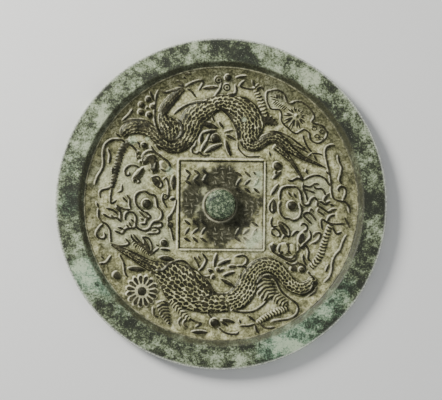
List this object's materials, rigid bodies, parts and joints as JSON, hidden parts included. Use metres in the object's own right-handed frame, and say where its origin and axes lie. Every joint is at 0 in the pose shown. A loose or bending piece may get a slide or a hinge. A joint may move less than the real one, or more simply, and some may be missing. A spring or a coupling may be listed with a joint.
{
  "type": "ancient bronze mirror",
  "caption": "Round cast bronze mirror, flat on its reflecting face; its back has a broad raised rim, a pierced cord knob in a square frame, and two dragons in relief among flowers and pearls.",
  "frame": {"origin": "centre of the flat reflecting face, which is the underside the mirror rests on", "axes": "+Z out of the decorated back, away from the reflecting face; +Y towards the top of the ornament as the picture shows it; +X to the ornament's right"},
  "size_m": [0.219, 0.219, 0.0124],
  "materials": {
    "patinated_bronze": "worn dark bronze with green patina and earth in the hollows"
  },
  "bodies": {
    "root": {"bronze_mirror": "patinated_bronze"}
  },
  "joints": []
}
